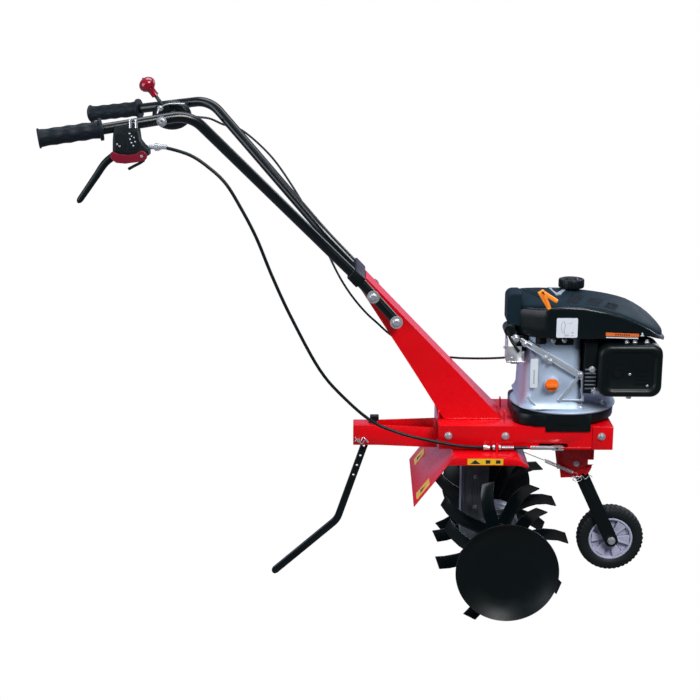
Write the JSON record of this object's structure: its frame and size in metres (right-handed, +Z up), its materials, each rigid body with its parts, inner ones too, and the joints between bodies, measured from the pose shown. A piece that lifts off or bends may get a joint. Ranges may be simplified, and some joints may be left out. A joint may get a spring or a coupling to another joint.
{
  "type": "tiller",
  "caption": "Small petrol garden tiller with swept handlebars, belt clutch, worm-driven bent tines, guard discs, drag stake and fold-up transport wheel.",
  "frame": {"origin": "on the ground under the middle of the machine's box", "axes": "+Z up, +X forward towards the transport wheel, -Y the operator's right"},
  "size_m": [1.3119, 0.5842, 1.167],
  "materials": {
    "red_paint": "gloss red powder coat",
    "black_paint": "gloss black paint",
    "black_plastic": "moulded black plastic, satin",
    "rubber": "dark moulded rubber",
    "zinc": "bright zinc plate",
    "steel": "machined steel",
    "aluminium": "cast aluminium",
    "orange_plastic": "orange moulded plastic",
    "crimson_plastic": "crimson moulded plastic",
    "knob_red": "glossy red ball knob",
    "tyre": "black rubber tyre",
    "grey_plastic": "lilac-grey moulded plastic"
  },
  "bodies": {
    "frame": {"body_shell": "red_paint", "front_end_plate": "red_paint", "mast": "red_paint", "rear_bracket": "red_paint", "tine_guard": "red_paint", "wheel_bracket": "red_paint", "handlebar_right": "black_paint", "handlebar_left": "black_paint", "grip_right": "rubber", "grip_left": "rubber", "handle_collar": "black_plastic", "handle_bolt_upper": "zinc", "handle_bolt_lower": "zinc", "handle_cross_brace": "black_paint", "throttle_quadrant": "black_plastic", "clutch_housing": "black_plastic", "clutch_cable": "black_plastic", "throttle_cable": "black_plastic", "gearcase_right": "aluminium", "gearcase_left": "aluminium", "shaft_bearing_right": "steel", "shaft_bearing_left": "steel", "drive_belt": "rubber", "engine_adapter": "black_plastic", "crankcase": "aluminium", "engine_cylinder": "aluminium", "engine_shroud": "black_plastic", "shroud_top_cover": "black_plastic", "muffler_guard": "black_paint", "air_filter_cover": "black_plastic", "control_bracket": "zinc", "wheel_spring": "zinc", "wheel_pivot_bolt": "zinc"},
    "tine_rotor": {"tine_shaft": "steel", "worm_wheel": "steel", "tine_set_inner_right": "black_paint", "tine_set_outer_right": "black_paint", "tine_set_inner_left": "black_paint", "tine_set_outer_left": "black_paint", "guard_disc_right": "black_paint", "guard_disc_left": "black_paint"},
    "worm_drive": {"worm_shaft": "steel", "input_pulley": "steel"},
    "crank": {"crankshaft": "steel", "engine_pulley": "steel"},
    "idler": {"idler_arm": "zinc"},
    "idler_wheel": {"idler_pulley": "steel"},
    "clevis": {"clutch_clevis": "zinc"},
    "clutch_grip_lever": {"clutch_lever": "black_paint"},
    "catch": {"safety_catch": "crimson_plastic"},
    "throttle": {"throttle_lever": "zinc", "throttle_knob": "knob_red"},
    "wheel_fork": {"wheel_arm": "black_paint", "wheel_axle_bolt": "zinc"},
    "wheel": {"wheel_tyre": "tyre", "wheel_rim": "grey_plastic"},
    "stake": {"drag_stake": "black_paint"},
    "starter": {"starter_handle": "orange_plastic"},
    "fuel_filler": {"fuel_cap": "black_plastic"},
    "oil_filler": {"oil_cap": "orange_plastic"}
  },
  "joints": [
    {"name": "tine_spin", "type": "hinge", "parent": "frame", "child": "tine_rotor", "pos_m": [0.296, 0, 0.147], "axis": [0, 1, 0], "continuous": true},
    {"name": "worm_spin", "type": "hinge", "parent": "frame", "child": "worm_drive", "pos_m": [0.244, 0, 0.325], "axis": [0, 0, 1], "continuous": true},
    {"name": "crank_spin", "type": "hinge", "parent": "frame", "child": "crank", "pos_m": [0.437, 0, 0.425], "axis": [0, 0, 1], "continuous": true},
    {"name": "clutch_squeeze", "type": "hinge", "parent": "frame", "child": "clutch_grip_lever", "pos_m": [-0.475, -0.2315, 1.043], "axis": [0, 1, 0], "range_deg": [0, 33], "stiffness_Nm_per_rad": 0.8, "springref_deg": -22.92},
    {"name": "idler_swing", "type": "hinge", "parent": "frame", "child": "idler", "pos_m": [0.418, -0.075, 0.373], "axis": [0, 0, -1], "range_deg": [0, 7]},
    {"name": "idler_spin", "type": "hinge", "parent": "idler", "child": "idler_wheel", "pos_m": [0.338, -0.07, 0.384], "axis": [0, 0, 1], "continuous": true},
    {"name": "clevis_pull", "type": "slide", "parent": "frame", "child": "clevis", "axis": [-1, 0, 0], "range_m": [0, 0.0049]},
    {"name": "catch_press", "type": "hinge", "parent": "frame", "child": "catch", "pos_m": [-0.45, -0.2517, 1.025], "axis": [0, 1, 0], "range_deg": [0, 14], "stiffness_Nm_per_rad": 0.06, "springref_deg": -17.19},
    {"name": "throttle_swing", "type": "hinge", "parent": "frame", "child": "throttle", "pos_m": [-0.435, -0.0165, 1.099], "axis": [0, 1, 0], "range_deg": [-12, 48]},
    {"name": "wheel_swing", "type": "hinge", "parent": "frame", "child": "wheel_fork", "pos_m": [0.471, 0, 0.308], "axis": [0, -1, 0], "range_deg": [0, 68]},
    {"name": "wheel_spin", "type": "hinge", "parent": "wheel_fork", "child": "wheel", "pos_m": [0.5595, 0, 0.1195], "axis": [0, 1, 0], "continuous": true},
    {"name": "stake_slide", "type": "slide", "parent": "frame", "child": "stake", "axis": [0.3256, 0, 0.9455], "range_m": [0, 0.0735]},
    {"name": "starter_pull", "type": "slide", "parent": "frame", "child": "starter", "axis": [-0.6, 0, 0.8], "range_m": [0, 0.5], "stiffness_N_per_m": 15, "springref_m": -0.2},
    {"name": "fuel_cap_turn", "type": "hinge", "parent": "frame", "child": "fuel_filler", "pos_m": [0.448, 0, 0.715], "axis": [0, 0, 1], "continuous": true},
    {"name": "oil_cap_turn", "type": "hinge", "parent": "frame", "child": "oil_filler", "pos_m": [0.398, -0.11, 0.514], "axis": [0, -1, 0], "continuous": true}
  ],
  "couplings": [
    {"joint": "worm_spin", "follows": "tine_spin", "ratio": 24},
    {"joint": "idler_swing", "follows": "clutch_squeeze", "ratio": 0.212},
    {"joint": "clevis_pull", "follows": "clutch_squeeze", "m_per_rad": 0.0085}
  ]
}
